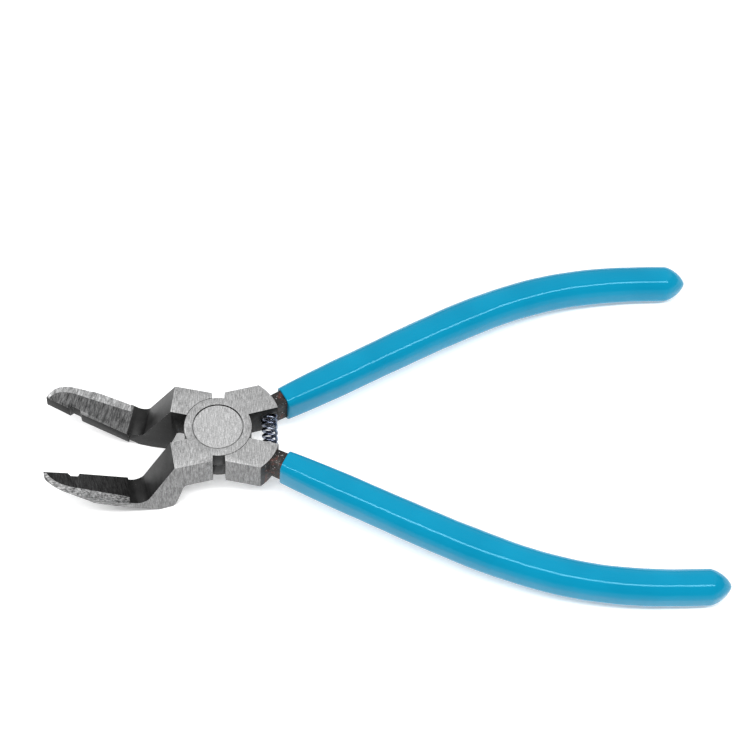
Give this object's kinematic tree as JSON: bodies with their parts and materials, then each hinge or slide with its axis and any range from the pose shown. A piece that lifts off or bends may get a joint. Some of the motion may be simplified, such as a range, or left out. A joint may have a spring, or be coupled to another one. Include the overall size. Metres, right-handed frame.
{
  "type": "angled spring-loaded mosaic glass nippers",
  "caption": "Spring-loaded lap-joint nippers with cranked, upturned flush blades and dip-moulded handle grips, for nibbling mosaic glass and trimming flush.",
  "frame": {"origin": "on the pivot axis, level with the ground front face of the head and the rivet", "axes": "+X from the pivot towards the handles, +Y towards the handle of the front half, +Z out of the front face along the pivot"},
  "size_m": [0.192, 0.1132, 0.0222],
  "materials": {
    "forged_steel": "black oxide, ground bright on the head faces, outer sides and bevels",
    "rivet_steel": "ground flat with the head",
    "spring_steel": "blued, oiled",
    "grip_vinyl": "glossy dip-moulded vinyl"
  },
  "bodies": {
    "front": {"front_half": "forged_steel", "pivot_rivet": "rivet_steel", "return_spring": "spring_steel", "upper_grip": "grip_vinyl"},
    "back": {"back_half": "forged_steel", "lower_grip": "grip_vinyl"}
  },
  "joints": [
    {"name": "pivot", "type": "hinge", "parent": "front", "child": "back", "pos_m": [0, 0, -0.0055], "axis": [0, 0, 1], "range_deg": [-16, 28], "stiffness_Nm_per_rad": 3.3, "deforming": ["return_spring"]}
  ]
}
